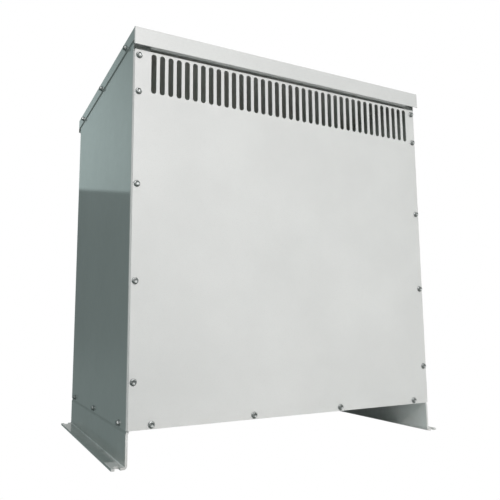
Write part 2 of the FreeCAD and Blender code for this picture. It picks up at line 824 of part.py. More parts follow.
def ground_strap():
    """Flat strap from the bottom clamp's foot down to the core channel."""
    top = clamp_foot + clamp_plate / 2 + 1
    face = channel_y + channel_width / 2 + 1
    blank = formed([(-channel_y - 6, top), (-face, top), (-face, 80)], 2.0, in_yz,
                   strap_x - 12, strap_x + 12, radius=2.5)
    return cut(blank, [rod(strap_hole, (strap_x, -strap_top_y, top - 5), (0, 0, 1), 10),
                       rod(strap_hole, (strap_x, -face - 5, strap_low_z), (0, 1, 0), 10)])


def ground_strap_bolts():
    top = clamp_foot + clamp_plate / 2 + 2
    face = channel_y + channel_width / 2 + 2
    return Part.makeCompound([
        hex_bolt((strap_x, -strap_top_y, top), (0, 0, 1), 2 + clamp_plate, 3.5),
        hex_bolt((strap_x, -face, strap_low_z), (0, -1, 0), 2 + channel_plate, 3.5)])


# ---------------------------------------------------------------- the assembly

lv_bar_places = list(phases.values()) + [neutral_x]
hv_bar_places = list(phases.values())

nodes = {
    "left_foot": foot(-1),
    "right_foot": foot(1),
    "left_side_panel": side_panel(-1),
    "right_side_panel": side_panel(1),
    "front_bottom_rail": bottom_rail(),
    "rear_bottom_rail": mirror_y(bottom_rail()),
    "front_top_rail": top_rail(),
    "rear_top_rail": mirror_y(top_rail()),
    "front_panel": front_panel(),
    "front_panel_screws": front_panel_screws(),
    "rear_panel": mirror_y(front_panel()),
    "rear_panel_screws": mirror_y(front_panel_screws()),
    "top_cover": top_cover(),
    "top_cover_screws": top_cover_screws(),
    "left_side_screws": lower_side_screws(-1),
    "right_side_screws": lower_side_screws(1),
    "front_core_channel": cut(core_channel(), strap_holes()),
    "rear_core_channel": mirror_y(core_channel()),
    "isolation_pads": isolation_pads(),
    "hold_down_bolts": hold_down_bolts(),
    "bottom_yoke": yoke(yoke_bottom),
    "top_yoke": yoke(window_top),
    "front_bottom_clamp": cut(bottom_clamp(), strap_holes()),
    "rear_bottom_clamp": mirror_y(bottom_clamp()),
    "front_top_clamp": top_clamp(),
    "rear_top_clamp": mirror_y(top_clamp()),
    "clamp_bolts": clamp_bolts(),
    "tie_rods": tie_rods(),
    "duct_spacers": duct_spacers(),
    "lower_coil_blocks": coil_blocks(yoke_top, coil_bottom),
    "upper_coil_blocks": coil_blocks(coil_top, top_clamp_bottom - clamp_plate / 2),
    "lv_terminal_board": terminal_board(lv_bar_places),
    "lv_board_brackets": board_brackets(),
    "lv_board_bolts": board_bolts(lv_bar_places, bar_plate),
    "lv_neutral_bus": lv_neutral_bus(),
    "hv_terminal_board": mirror_y(terminal_board(hv_bar_places)),
    "hv_board_brackets": mirror_y(board_brackets()),
    "hv_board_bolts": mirror_y(board_bolts(hv_bar_places, hv_bar_plate)),
    "hv_terminal_bars": hv_terminal_bars(),
    "hv_delta_leads": hv_delta_leads(),
    "hv_tap_boards": hv_tap_boards(),
    "hv_tap_links": hv_tap_links(),
    "hv_tap_studs": hv_tap_studs(),
    "lifting_lugs": lifting_lugs(),
    "ground_lug": ground_lug(),
    "ground_strap": ground_strap(),
    "ground_strap_bolts": ground_strap_bolts(),
}
for phase, centre in phases.items():
    nodes[f"core_limb_{phase}"] = core_limb(centre)
    nodes[f"lv_coil_{phase}"] = lv_coil(centre)
    nodes[f"hv_coil_{phase}"] = hv_coil(centre)
    nodes[f"lv_phase_bar_{phase}"] = lv_bar(centre)

os.makedirs("parts", exist_ok=True)
for name, shape in nodes.items():
    shape.exportStep(os.path.join("parts", name + ".step"))
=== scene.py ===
import json
import math
import random

import bmesh
import bpy
from mathutils import Matrix, Vector


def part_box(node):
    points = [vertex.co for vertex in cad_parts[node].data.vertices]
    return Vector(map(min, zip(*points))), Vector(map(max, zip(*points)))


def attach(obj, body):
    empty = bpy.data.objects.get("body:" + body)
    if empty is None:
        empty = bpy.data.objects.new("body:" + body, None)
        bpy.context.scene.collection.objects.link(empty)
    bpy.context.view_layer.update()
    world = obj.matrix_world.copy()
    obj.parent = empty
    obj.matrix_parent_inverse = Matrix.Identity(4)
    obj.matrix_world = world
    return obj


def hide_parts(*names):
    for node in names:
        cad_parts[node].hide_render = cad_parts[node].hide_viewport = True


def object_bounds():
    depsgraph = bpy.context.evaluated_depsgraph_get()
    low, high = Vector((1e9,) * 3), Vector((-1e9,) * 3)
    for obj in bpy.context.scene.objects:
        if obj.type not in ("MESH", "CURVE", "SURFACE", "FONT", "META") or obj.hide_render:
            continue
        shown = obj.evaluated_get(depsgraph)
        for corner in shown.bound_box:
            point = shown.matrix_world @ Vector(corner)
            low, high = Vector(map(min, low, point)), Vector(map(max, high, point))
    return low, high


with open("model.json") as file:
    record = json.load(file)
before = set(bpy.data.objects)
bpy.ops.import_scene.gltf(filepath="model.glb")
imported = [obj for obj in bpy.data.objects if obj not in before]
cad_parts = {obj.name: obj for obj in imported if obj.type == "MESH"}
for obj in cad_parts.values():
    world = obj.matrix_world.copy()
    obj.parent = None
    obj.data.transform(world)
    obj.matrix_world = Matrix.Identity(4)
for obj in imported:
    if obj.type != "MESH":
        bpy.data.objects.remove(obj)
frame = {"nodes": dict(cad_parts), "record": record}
cad_low, cad_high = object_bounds()
NODES = frame["nodes"]

front_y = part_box("front_panel")[0].y
cover_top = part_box("top_cover")[1].z

# ---------------------------------------------------------------- camera and studio

CAMERA_X = -0.6901
CAMERA_DISTANCE = 1.0878        # from the front panel's face
CAMERA_HEIGHT = 0.2728
CAMERA_HEADING = math.radians(27.616)
CAMERA_PITCH = math.radians(7.717)
CAMERA_ROLL = math.radians(-0.533)
CAMERA_LENS = 39.858

FLOOR_RADIUS = 30
DOME_RADIUS = 29
FLOOR_DROP = 0.0002             # how far the white floor lies under the feet
BOUNCE_DROP = 0.0006            # and the matt one
BOUNCE_HALF_WIDTH = 2.5
BOUNCE = 0.88                   # share of the light that the unseen floor gives back
BOUNCE_START = 0.028            # it starts this far right of the left foot's outer edge
FILL = 0.62                     # soft light from the front, right, back and above
SHADE = 0.265                   # the studio's dark left side
BACK_DIM = 0.13                 # how much darker that side's rear part is
BELOW = 0.20                    # light from under the horizon on the left
EDGE_ELEVATION = math.radians(13.5)     # where the bright rear left panel begins
EDGE_LIGHT = 0.755
KEY_POWER = 35.4
INSIDE_POWER = 0.44             # under the cover, behind the slots
SKIRT_POWER = 0.019             # in front of the skirt, on the right foot's inner face
REAR_POWER = 60
FLAG_DISTANCE = 0.06            # from the front panel's face
LEFT_TINT = (0.82, 1.0, 0.985, 1)
RIGHT_TINT = (0.97, 1.0, 0.98, 1)
LIGHT_RAYS = ("diffuse", "glossy", "transmission", "volume_scatter")


def make_camera():
    data = bpy.data.cameras.new("camera")
    data.lens = CAMERA_LENS
    data.sensor_width = 36
    data.clip_end = 60
    camera = add_object("camera", data)
    forward = Vector((math.sin(CAMERA_HEADING) * math.cos(CAMERA_PITCH),
                      math.cos(CAMERA_HEADING) * math.cos(CAMERA_PITCH),
                      math.sin(CAMERA_PITCH)))
    level_right = Vector((math.cos(CAMERA_HEADING), -math.sin(CAMERA_HEADING), 0))
    level_up = level_right.cross(forward)
    right = level_right * math.cos(CAMERA_ROLL) + level_up * math.sin(CAMERA_ROLL)
    up = level_up * math.cos(CAMERA_ROLL) - level_right * math.sin(CAMERA_ROLL)
    turn = Matrix((right, up, -forward)).transposed().to_4x4()
    camera.matrix_world = Matrix.Translation((CAMERA_X, front_y - CAMERA_DISTANCE,
                                              CAMERA_HEIGHT)) @ turn
    bpy.context.scene.camera = camera


def add_object(name, data):
    thing = bpy.data.objects.new(name, data)
    bpy.context.scene.collection.objects.link(thing)
    return thing


def mesh_from(name, shape):
    mesh = bpy.data.meshes.new(name)
    shape.to_mesh(mesh)
    shape.free()
    return mesh


def new_material(name):
    material = bpy.data.materials.new(name)
    material.use_nodes = True
    material.node_tree.nodes.clear()
    return material, material.node_tree.nodes, material.node_tree.links


def finish_material(links, nodes, shader_output):
    out = nodes.new("ShaderNodeOutputMaterial")
    links.new(shader_output, out.inputs["Surface"])


def white_glow(name):
    """Plain white that needs no light on it."""
    material, nodes, links = new_material(name)
    glow = nodes.new("ShaderNodeEmission")
    glow.inputs["Color"].default_value = (1, 1, 1, 1)
    glow.inputs["Strength"].default_value = 1.0
    finish_material(links, nodes, glow.outputs["Emission"])
    return material


def hide_from(stage_object, *rays):
    for ray in rays:
        setattr(stage_object, "visible_" + ray, False)


def stage_piece(name, shape, height, material):
    piece = add_object(name, mesh_from(name, shape))
    piece.location.z = height
    piece.data.materials.append(material)
    return piece


def make_floor():
    """White floor for the camera, and under it a matt one that bounces and blocks the light."""
    shape = bmesh.new()
    bmesh.ops.create_circle(shape, cap_ends=True, segments=96, radius=FLOOR_RADIUS)
    floor = stage_piece("floor", shape, cad_low.z - FLOOR_DROP, white_glow("floor"))
    hide_from(floor, *LIGHT_RAYS, "shadow")
    matt_material, nodes, links = new_material("bounce")
    matt = nodes.new("ShaderNodeBsdfDiffuse")
    matt.inputs["Color"].default_value = (BOUNCE, BOUNCE, BOUNCE, 1)
    finish_material(links, nodes, matt.outputs["BSDF"])
    shape = bmesh.new()
    bmesh.ops.create_grid(shape, x_segments=1, y_segments=1, size=BOUNCE_HALF_WIDTH)
    middle_x = BOUNCE_HALF_WIDTH + cad_low.x + BOUNCE_START
    bmesh.ops.translate(shape, verts=shape.verts, vec=(middle_x, 0, 0))
    bounce = stage_piece("bounce", shape, cad_low.z - BOUNCE_DROP, matt_material)
    hide_from(bounce, "camera", "glossy")


def make_backdrop():
    """White dome that only the camera sees; the studio's light comes from the world and lamps."""
    shape = bmesh.new()
    bmesh.ops.create_uvsphere(shape, u_segments=48, v_segments=24, radius=DOME_RADIUS)
    dome = stage_piece("backdrop", shape, 0, white_glow("backdrop"))
    hide_from(dome, *LIGHT_RAYS, "shadow")


def make_world():
    """Even soft light, dark on the left and below, with a bright panel behind on the left."""
    world = bpy.data.worlds.new("studio")
    bpy.context.scene.world = world
    world.use_nodes = True
    nodes, links = world.node_tree.nodes, world.node_tree.links
    nodes.clear()
    place = nodes.new("ShaderNodeTexCoord")
    split = nodes.new("ShaderNodeSeparateXYZ")
    links.new(place.outputs["Generated"], split.inputs[0])

    def step(value, low, high):
        node = nodes.new("ShaderNodeMapRange")
        node.interpolation_type = "SMOOTHSTEP"
        node.inputs["From Min"].default_value = low
        node.inputs["From Max"].default_value = high
        links.new(value, node.inputs["Value"])
        return node.outputs["Result"]

    def combine(a, b, operation):
        node = nodes.new("ShaderNodeMath")
        node.operation = operation
        for socket, value in zip(node.inputs, (a, b)):
            if isinstance(value, float):
                socket.default_value = value
            else:
                links.new(value, socket)
        return node.outputs[0]

    rightness = step(split.outputs["X"], -0.12, 0.05)
    right = combine(rightness, FILL - SHADE, "MULTIPLY")
    back_left = step(split.outputs["Y"], 0.80, 0.93)
    edge = math.sin(EDGE_ELEVATION)
    high = step(split.outputs["Z"], edge - 0.004, edge + 0.004)
    back_panel = combine(combine(back_left, high, "MULTIPLY"), EDGE_LIGHT - SHADE, "MULTIPLY")
    base = combine(combine(back_left, -BACK_DIM, "MULTIPLY"), SHADE - BELOW, "ADD")
    light = combine(combine(right, back_panel, "MAXIMUM"), base, "ADD")
    light = combine(light, step(split.outputs["Z"], -0.12, 0.02), "MULTIPLY")
    light = combine(light, BELOW, "ADD")
    glow = nodes.new("ShaderNodeBackground")
    tint = nodes.new("ShaderNodeMix")
    tint.data_type = "RGBA"
    tint.inputs["A"].default_value = LEFT_TINT
    tint.inputs["B"].default_value = RIGHT_TINT
    links.new(rightness, tint.inputs["Factor"])
    links.new(tint.outputs["Result"], glow.inputs["Color"])
    links.new(light, glow.inputs["Strength"])
    out = nodes.new("ShaderNodeOutputWorld")
    links.new(glow.outputs["Background"], out.inputs["Surface"])


def add_lamp(name, place, target, size, power, colour=(1, 1, 1), spread=180):
    data = bpy.data.lights.new(name, "AREA")
    data.shape = "DISK"
    data.size = size
    data.energy = power
    data.color = colour
    data.spread = math.radians(spread)
    lamp = add_object(name, data)
    lamp.location = place
    lamp.rotation_euler = (Vector(target) - Vector(place)).to_track_quat("-Z", "Y").to_euler()
    lamp.visible_camera = False
    lamp.visible_glossy = name == "key"


def make_lamps():
    add_lamp("key", (-0.36, front_y - 4.0, 2.7), (-0.36, front_y, 0.42), size=0.3,
             power=KEY_POWER, colour=(1.0, 0.955, 0.975), spread=95)
    add_lamp("inside", (0, 0, cover_top - 0.02), (0, 0, 0), size=0.5,
             power=INSIDE_POWER, colour=(0.80, 1.0, 0.90))
    add_lamp("skirt", (-0.30, front_y - 0.10, 0.035), (0.39, front_y - 0.02, 0.035), size=0.06,
             power=SKIRT_POWER, colour=(0.80, 1.0, 0.98), spread=28)
    add_lamp("rear", (1.4, 3.6, 2.0), (0, 0.3, 0.45), size=1.5, power=REAR_POWER)


def make_flag():
    """Card that keeps the key off what stands out on the left side. Only its shadow shows."""
    side_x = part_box("left_side_panel")[0].x
    near, far, low, high = side_x - 0.003, side_x - 0.033, 0.085, 1.1
    corners = [(x, front_y - FLAG_DISTANCE, z)
               for x, z in ((near, low), (far, low), (far, high), (near, high))]
    mesh = bpy.data.meshes.new("flag")
    mesh.from_pydata(corners, [], [(0, 1, 2, 3)])
    flag = add_object("flag", mesh)
    hide_from(flag, "camera", *LIGHT_RAYS)


# ---------------------------------------------------------------- materials


class Look:
    """A Principled material built up step by step."""

    def __init__(self, name, roughness, metallic=0.0):
        self.material, self.nodes, self.links = new_material(name)
        self.shader = self.nodes.new("ShaderNodeBsdfPrincipled")
        self.shader.inputs["Metallic"].default_value = metallic
        self.shader.inputs["Roughness"].default_value = roughness
        finish_material(self.links, self.nodes, self.shader.outputs["BSDF"])
        self.place = self.nodes.new("ShaderNodeTexCoord").outputs["Object"]
        self.normal = None

    def noise(self, scale, detail=4.0, stretch=(1, 1, 1), roughness=0.55):
        mapping = self.nodes.new("ShaderNodeMapping")
        mapping.inputs["Scale"].default_value = stretch
        self.links.new(self.place, mapping.inputs["Vector"])
        texture = self.nodes.new("ShaderNodeTexNoise")
        texture.inputs["Scale"].default_value = scale
        texture.inputs["Detail"].default_value = detail
        texture.inputs["Roughness"].default_value = roughness
        self.links.new(mapping.outputs["Vector"], texture.inputs["Vector"])
        return texture.outputs["Fac"]

    def cells(self, scale):
        texture = self.nodes.new("ShaderNodeTexVoronoi")
        texture.inputs["Scale"].default_value = scale
        self.links.new(self.place, texture.inputs["Vector"])
        shade = self.nodes.new("ShaderNodeSeparateColor")
        self.links.new(texture.outputs["Color"], shade.inputs["Color"])
        return shade.outputs["Red"]

    def bands(self, scale, direction, distortion=0.0):
        texture = self.nodes.new("ShaderNodeTexWave")
        texture.bands_direction = direction
        texture.inputs["Scale"].default_value = scale
        texture.inputs["Distortion"].default_value = distortion
        texture.inputs["Detail"].default_value = 2.0
        self.links.new(self.place, texture.inputs["Vector"])
        return texture.outputs["Fac"]

    def along(self, axis, start, end):
        """0 at start and 1 at end along one axis of the object, in metres."""
        split = self.nodes.new("ShaderNodeSeparateXYZ")
        self.links.new(self.place, split.inputs[0])
        return self.remap(split.outputs[axis], start, end, 0.0, 1.0)

    def remap(self, value, low, high, new_low, new_high):
        node = self.nodes.new("ShaderNodeMapRange")
        for socket, number in zip(("From Min", "From Max", "To Min", "To Max"),
                                  (low, high, new_low, new_high)):
            node.inputs[socket].default_value = number
        self.links.new(value, node.inputs["Value"])
        return node.outputs["Result"]

    def times(self, a, b):
        node = self.nodes.new("ShaderNodeMath")
        node.operation = "MULTIPLY"
        self.links.new(a, node.inputs[0])
        self.links.new(b, node.inputs[1])
        return node.outputs[0]

    def colour(self, first, second, fac):
        """Base colour between two tones."""
        mix = self.nodes.new("ShaderNodeMix")
        mix.data_type = "RGBA"
        mix.inputs["A"].default_value = (*first, 1)
        mix.inputs["B"].default_value = (*second, 1)
        self.links.new(fac, mix.inputs["Factor"])
        self.links.new(mix.outputs["Result"], self.shader.inputs["Base Color"])
        self.base = mix.outputs["Result"]
        return self

    def over(self, tone, fac):
        """Another tone laid over the base colour."""
        mix = self.nodes.new("ShaderNodeMix")
        mix.data_type = "RGBA"
        self.links.new(self.base, mix.inputs["A"])
        mix.inputs["B"].default_value = (*tone, 1)
        self.links.new(fac, mix.inputs["Factor"])
        self.links.new(mix.outputs["Result"], self.shader.inputs["Base Color"])
        self.base = mix.outputs["Result"]
        return self

    def rough(self, low, high, fac):
        self.links.new(self.remap(fac, 0.3, 0.7, low, high), self.shader.inputs["Roughness"])
        return self

    def bump(self, fac, distance, strength=1.0):
        node = self.nodes.new("ShaderNodeBump")
        node.inputs["Strength"].default_value = strength
        node.inputs["Distance"].default_value = distance
        self.links.new(fac, node.inputs["Height"])
        if self.normal:
            self.links.new(self.normal, node.inputs["Normal"])
        self.normal = node.outputs["Normal"]
        self.links.new(self.normal, self.shader.inputs["Normal"])
        return self


def enclosure_paint():
    look = Look("enclosure_paint", 0.45)
    look.shader.inputs["Coat Weight"].default_value = 1.0
    look.shader.inputs["Coat Roughness"].default_value = 0.04
    cloud = look.noise(5.0)
    speck = look.noise(900.0, 2.0)
    look.colour(PAINT, tuple(c * 0.94 for c in PAINT), look.remap(cloud, 0.35, 0.65, 0.0, 1.0))
    look.over(tuple(c * 0.84 for c in PAINT), look.remap(speck, 0.56, 0.74, 0.0, 1.0))
    film = look.noise(34.0, 5.0)
    dust = look.times(look.along("Z", 0.11, 0.0), look.remap(film, 0.4, 0.72, 0.0, 0.35))
    look.over((0.50, 0.47, 0.41), dust)
    scuff = look.times(look.remap(look.noise(9.0, 6.0), 0.62, 0.70, 0.0, 1.0),
                       look.remap(look.noise(210.0, 3.0), 0.58, 0.72, 0.0, 0.12))
    look.over((0.36, 0.37, 0.36), scuff)
    look.rough(0.36, 0.52, look.noise(60.0))
    look.bump(look.noise(520.0, 2.0), 0.00012, 0.55)
    look.bump(look.noise(14.0, 2.0), 0.0012, 0.25)
    return look.material


def steel(name, light, dark, roughness):
    look = Look(name, roughness, 1.0)
    look.colour(light, dark, look.remap(look.noise(70.0, 6.0), 0.38, 0.66, 0.0, 1.0))
    look.over(tuple(c * 0.72 for c in dark), look.remap(look.cells(260.0), 0.55, 1.0, 0.0, 0.45))
    look.over((0.30, 0.22, 0.15), look.remap(look.noise(45.0, 8.0), 0.66, 0.76, 0.0, 0.5))
    look.rough(roughness - 0.08, roughness + 0.14, look.noise(130.0))
    look.bump(look.noise(1500.0, 3.0), 0.00006, 0.6)
    return look.material


def brushed(name, light, dark, roughness, stretch):
    look = Look(name, roughness, 1.0)
    look.colour(light, dark, look.remap(look.noise(420.0, 4.0, stretch), 0.35, 0.68, 0.0, 1.0))
    look.over(tuple(c * 0.6 for c in dark), look.remap(look.noise(22.0, 7.0), 0.58, 0.72, 0.0, 0.5))
    look.rough(roughness - 0.06, roughness + 0.16, look.noise(40.0))
    look.bump(look.noise(900.0, 3.0, stretch), 0.00005, 0.7)
    return look.material


def clamp_paint():
    look = Look("black_steel", 0.45)
    look.colour((0.030, 0.031, 0.033), (0.052, 0.052, 0.052), look.remap(look.noise(35.0, 6.0),
                                                                       0.4, 0.65, 0.0, 1.0))
    look.over((0.16, 0.11, 0.08), look.remap(look.noise(55.0, 9.0), 0.67, 0.74, 0.0, 0.8))
    dust = look.times(look.remap(look.noise(16.0, 4.0), 0.45, 0.7, 0.0, 1.0),
                      look.remap(look.noise(800.0, 2.0), 0.5, 0.7, 0.0, 0.5))
    look.over((0.20, 0.19, 0.175), dust)
    look.rough(0.34, 0.6, look.noise(90.0))
    look.bump(look.noise(700.0, 3.0), 0.00018, 0.6)
    return look.material


def varnished(name, light, dark, metallic, coat, grain):
    look = Look(name, 0.42, metallic)
    look.shader.inputs["Coat Weight"].default_value = coat
    look.shader.inputs["Coat Roughness"].default_value = 0.18
    look.colour(light, dark, look.remap(look.noise(38.0, 7.0, grain), 0.36, 0.66, 0.0, 1.0))
    stain = look.remap(look.noise(11.0, 6.0), 0.55, 0.72, 0.0, 0.7)
    look.over(tuple(c * 0.45 for c in dark), stain)
    dust = look.times(look.remap(look.noise(19.0, 4.0), 0.5, 0.72, 0.0, 1.0),
                      look.remap(look.noise(950.0, 2.0), 0.5, 0.7, 0.0, 0.4))
    look.over((0.42, 0.36, 0.28), dust)
    look.rough(0.32, 0.62, look.noise(120.0))
    look.bump(look.noise(650.0, 4.0, grain), 0.00022, 0.6)
    return look.material


def laminated_steel():
    look = Look("core_steel", 0.42, 0.85)
    look.colour((0.20, 0.20, 0.22), (0.10, 0.10, 0.115), look.remap(look.noise(24.0, 7.0),
                                                                  0.36, 0.66, 0.0, 1.0))
    look.over((0.05, 0.05, 0.055), look.remap(look.bands(420.0, "Y", 0.4), 0.62, 0.95, 0.0, 0.85))
    look.over((0.26, 0.14, 0.07), look.remap(look.noise(33.0, 8.0), 0.62, 0.72, 0.0, 0.55))
    look.rough(0.35, 0.6, look.noise(140.0))
    look.bump(look.bands(420.0, "Y", 0.4), 0.00015, 0.8)
    return look.material


def laminate():
    look = Look("insulating_board", 0.5)
    look.colour((0.55, 0.10, 0.06), (0.38, 0.06, 0.04), look.remap(look.noise(60.0, 6.0),
                                                                 0.36, 0.66, 0.0, 1.0))
    look.over((0.66, 0.24, 0.15), look.remap(look.noise(420.0, 3.0, (0.15, 1, 1)), 0.58, 0.74,
                                             0.0, 0.7))
    look.over((0.5, 0.42, 0.35), look.times(look.remap(look.noise(15.0), 0.48, 0.7, 0.0, 1.0),
                                           look.remap(look.noise(900.0), 0.52, 0.7, 0.0, 0.45)))
    look.rough(0.4, 0.62, look.noise(110.0))
    look.bump(look.noise(1100.0, 3.0, (0.2, 1, 1)), 0.00012, 0.6)
    return look.material


def rubber(name, light, dark, roughness):
    look = Look(name, roughness)
    look.colour(dark, light, look.remap(look.noise(40.0, 6.0), 0.4, 0.68, 0.0, 1.0))
    look.over((0.22, 0.20, 0.18), look.times(look.remap(look.noise(18.0), 0.45, 0.7, 0.0, 1.0),
                                            look.remap(look.noise(1000.0), 0.5, 0.7, 0.0, 0.5)))
    look.rough(roughness - 0.1, roughness + 0.12, look.noise(100.0))
    look.bump(look.noise(1400.0, 3.0), 0.0001, 0.7)
    return look.material


PAINT = (0.69, 0.70, 0.68)
MATERIALS = {
    "enclosure_paint": enclosure_paint(),
    "zinc_steel": steel("zinc_steel", (0.50, 0.52, 0.51), (0.34, 0.36, 0.35), 0.47),
    "plated_steel": steel("plated_steel", (0.66, 0.61, 0.48), (0.45, 0.43, 0.36), 0.36),
    "black_steel": clamp_paint(),
    "core_steel": laminated_steel(),
    "lv_winding": varnished("lv_winding", (0.50, 0.27, 0.10), (0.30, 0.14, 0.05), 0.5, 0.7,
                            (1, 1, 4)),
    "hv_winding": varnished("hv_winding", (0.36, 0.15, 0.06), (0.20, 0.075, 0.03), 0.25, 0.8,
                            (0.3, 0.3, 5)),
    "insulating_board": laminate(),
    "black_rubber": rubber("black_rubber", (0.04, 0.04, 0.04), (0.018, 0.018, 0.018), 0.7),
    "bus_aluminium": brushed("bus_aluminium", (0.76, 0.76, 0.77), (0.56, 0.56, 0.58), 0.32,
                             (1, 1, 0.05)),
    "stud_brass": brushed("stud_brass", (0.66, 0.48, 0.22), (0.42, 0.29, 0.12), 0.34, (1, 0.2, 1)),
    "lead_insulation": rubber("lead_insulation", (0.06, 0.06, 0.065), (0.025, 0.025, 0.03), 0.45),
    "strap_metal": brushed("strap_metal", (0.62, 0.59, 0.54), (0.36, 0.34, 0.31), 0.4,
                           (1, 1, 0.15)),
}
SLOTS = {entry["node"]: entry["material_slot"] for entry in frame["record"]["subparts"]}
for node, slot_name in SLOTS.items():
    NODES[node].data.materials.clear()
    NODES[node].data.materials.append(MATERIALS[slot_name])


# ---------------------------------------------------------------- shape helpers


def piece_from(name, shape, slot_name, body, stands_for=(), smooth=40.0):
    """Turns the bmesh into a piece with its finish, riding on one body."""
    bmesh.ops.recalc_face_normals(shape, faces=shape.faces)
    for face in shape.faces:
        face.smooth = True
    for edge in shape.edges:
        edge.smooth = len(edge.link_faces) == 2 and edge.calc_face_angle(0.0) < math.radians(smooth)
    mesh = mesh_from(name, shape)
    mesh.materials.append(MATERIALS[slot_name])
    piece = add_object(name, mesh)
    if stands_for:
        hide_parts(*stands_for)
    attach(piece, body)
    return piece


def bevel(thing, width, segments=2, angle=35.0):
    modifier = thing.modifiers.new("edges", "BEVEL")
    modifier.width = width
    modifier.segments = segments
    modifier.limit_method = "ANGLE"
    modifier.angle_limit = math.radians(angle)
    modifier.use_clamp_overlap = True
    modifier.harden_normals = True


def turned(shape, profile, place, direction, sides=24, turn=0.0, flats=None):
    """Closed turned solid of (radius, height) rings; flats keeps each ring inside a hexagon."""
    direction = Vector(direction).normalized()
    across = direction.orthogonal().normalized()
    other = direction.cross(across)
    rings = []
    for radius, height in profile:
        ring = []
        for index in range(sides):
            angle = 2 * math.pi * index / sides
            reach = radius
            if flats:
                fold = angle % (math.pi / 3) - math.pi / 6
                reach = min(radius, flats / 2 / math.cos(fold))
            ring.append(shape.verts.new(Vector(place) + direction * height + reach * (
                across * math.cos(angle + turn) + other * math.sin(angle + turn))))
        rings.append(ring)
    for low, high in zip(rings, rings[1:]):
        for index in range(sides):
            after = (index + 1) % sides
            shape.faces.new((low[index], low[after], high[after], high[index]))
    shape.faces.new(rings[0][::-1])
    shape.faces.new(rings[-1])


def threads(radius, start, end, pitch):
    """Profile of a threaded run with chamfered ends."""
    count = max(2, int(abs(end - start) / pitch))
    step = (end - start) / count
    profile = [(radius * 0.78, start)]
    for index in range(count):
        profile.append((radius * 0.86, start + step * (index + 0.15)))
        profile.append((radius, start + step * (index + 0.5)))
        profile.append((radius * 0.86, start + step * (index + 0.85)))
    return profile + [(radius * 0.78, end)]


def islands(node):
    """Vertex positions of each separate solid of a CAD node."""
    shape = bmesh.new()
    shape.from_mesh(NODES[node].data)
    bmesh.ops.remove_doubles(shape, verts=shape.verts, dist=1e-5)
    seen, groups = set(), []
    for first in shape.verts:
        if first in seen:
            continue
        seen.add(first)
        stack, group = [first], []
        while stack:
            vertex = stack.pop()
            group.append(vertex.co.copy())
            for edge in vertex.link_edges:
                other = edge.other_vert(vertex)
                if other not in seen:
                    seen.add(other)
                    stack.append(other)
        groups.append(group)
    shape.free()
    return sorted(groups, key=lambda group: tuple(round(c, 4) for c in middle(group)))


def middle(points):
    return [(min(p[axis] for p in points) + max(p[axis] for p in points)) / 2
            for axis in range(3)]


def steps_along(points):
    """Axis, centre line and the (height, widest radius) of each plane of a fastener's points."""
    centre = Vector(middle(points))
    spans = [max(p[a] for p in points) - min(p[a] for p in points) for a in range(3)]
    axis = spans.index(max(spans))
    direction = Vector([1.0 if a == axis else 0.0 for a in range(3)])
    planes = {}
    for point in points:
        height = round((point - centre)[axis], 5)
        off = point - centre
        off[axis] = 0
        planes[height] = max(planes.get(height, 0), off.length)
    return direction, centre, sorted(planes.items())


# ---------------------------------------------------------------- enclosure fasteners

SCREW_RADIUS = 0.0031
SCREW_PITCH = 0.0014
COARSE_PITCH = 0.00175
FINE_PITCH = 0.0012
shuffle = random.Random(19)


def panel_screws(node, body):
    """Hex washer-head screws: coned washer, dished and chamfered head, threaded shank."""
    shape = bmesh.new()
    for points in islands(node):
        direction, centre, planes = steps_along(points)
        if planes[-1][1] < planes[0][1]:
            direction = -direction
            planes = [(-height, radius) for height, radius in reversed(planes)]
        tip, head = planes[0][0], planes[-1][0]
        washer = max(radius for _, radius in planes)
        seat = min(height for height, radius in planes if radius > washer - 0.0001)
        flats = planes[-1][1] * math.sqrt(3)
        turn = shuffle.uniform(0, math.pi / 3)
        tilt = (direction.orthogonal() * shuffle.uniform(-0.018, 0.018)
                + direction.cross(direction.orthogonal()) * shuffle.uniform(-0.018, 0.018))
        lean = (direction + tilt).normalized()
        origin = centre + direction * seat
        rise = head - seat
        turned(shape, [(washer * 0.95, 0.0), (washer, 0.0003), (washer, 0.0008),
                       (washer * 0.93, 0.0014), (washer * 0.80, 0.0019),
                       (washer * 0.70, 0.0020)], origin, lean, 48, turn)
        turned(shape, [(flats, 0.0012), (flats, rise * 0.80), (flats * 0.545, rise * 0.90),
                       (flats * 0.50, rise * 0.98), (flats * 0.46, rise),
                       (flats * 0.41, rise * 0.97), (flats * 0.34, rise * 0.80),
                       (flats * 0.20, rise * 0.72), (flats * 0.04, rise * 0.70)],
               origin, lean, 48, turn, flats)
        turned(shape, threads(SCREW_RADIUS, 0.0006, tip - seat, SCREW_PITCH), origin, direction, 20)
    return piece_from(node + "_detail", shape, "zinc_steel", body, (node,))


for node, body in (("front_panel_screws", "front_cover"), ("rear_panel_screws", "rear_cover"),
                   ("left_side_screws", "enclosure"), ("right_side_screws", "enclosure"),
                   ("top_cover_screws", "lift_off_top")):
    panel_screws(node, body)


